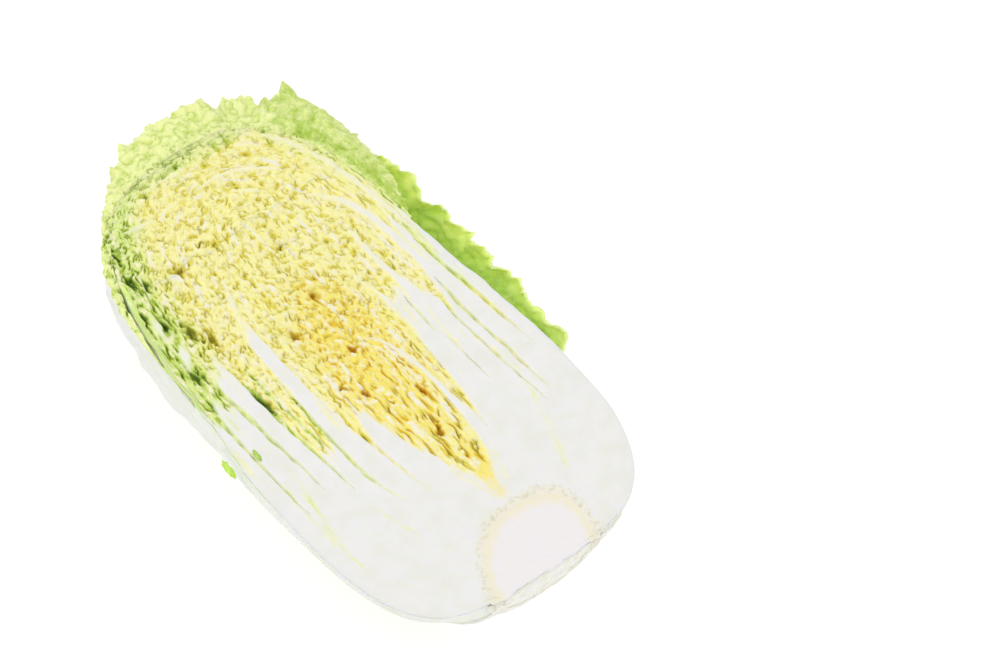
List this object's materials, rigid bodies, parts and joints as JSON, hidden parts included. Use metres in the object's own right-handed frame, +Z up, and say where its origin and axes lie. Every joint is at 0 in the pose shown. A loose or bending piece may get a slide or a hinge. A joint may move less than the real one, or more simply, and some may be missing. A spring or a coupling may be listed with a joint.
{
  "type": "halved chinese cabbage",
  "caption": "Half of a long, barrel-shaped Chinese cabbage head, cut lengthwise and lying on its rounded back with the layered cut face up.",
  "frame": {"origin": "bottom centre of the bounding box, on the surface that the half lies on", "axes": "+Y from the trimmed butt to the leaf tips, +Z up, normal to the level cut face"},
  "size_m": [0.1639, 0.2904, 0.0722],
  "materials": {
    "outer_leaf_green": "satin",
    "inner_leaf_pale": "satin",
    "heart_yellow": "matte",
    "stem_white": "satin"
  },
  "bodies": {
    "root": {"stem": "stem_white", "leaf_01": "outer_leaf_green", "leaf_02": "outer_leaf_green", "leaf_03": "outer_leaf_green", "leaf_04": "inner_leaf_pale", "leaf_05": "inner_leaf_pale", "leaf_06": "inner_leaf_pale", "leaf_07": "inner_leaf_pale", "leaf_08": "inner_leaf_pale", "leaf_09": "inner_leaf_pale", "leaf_10": "inner_leaf_pale", "leaf_11": "inner_leaf_pale", "leaf_12": "inner_leaf_pale", "heart": "heart_yellow"}
  },
  "joints": []
}
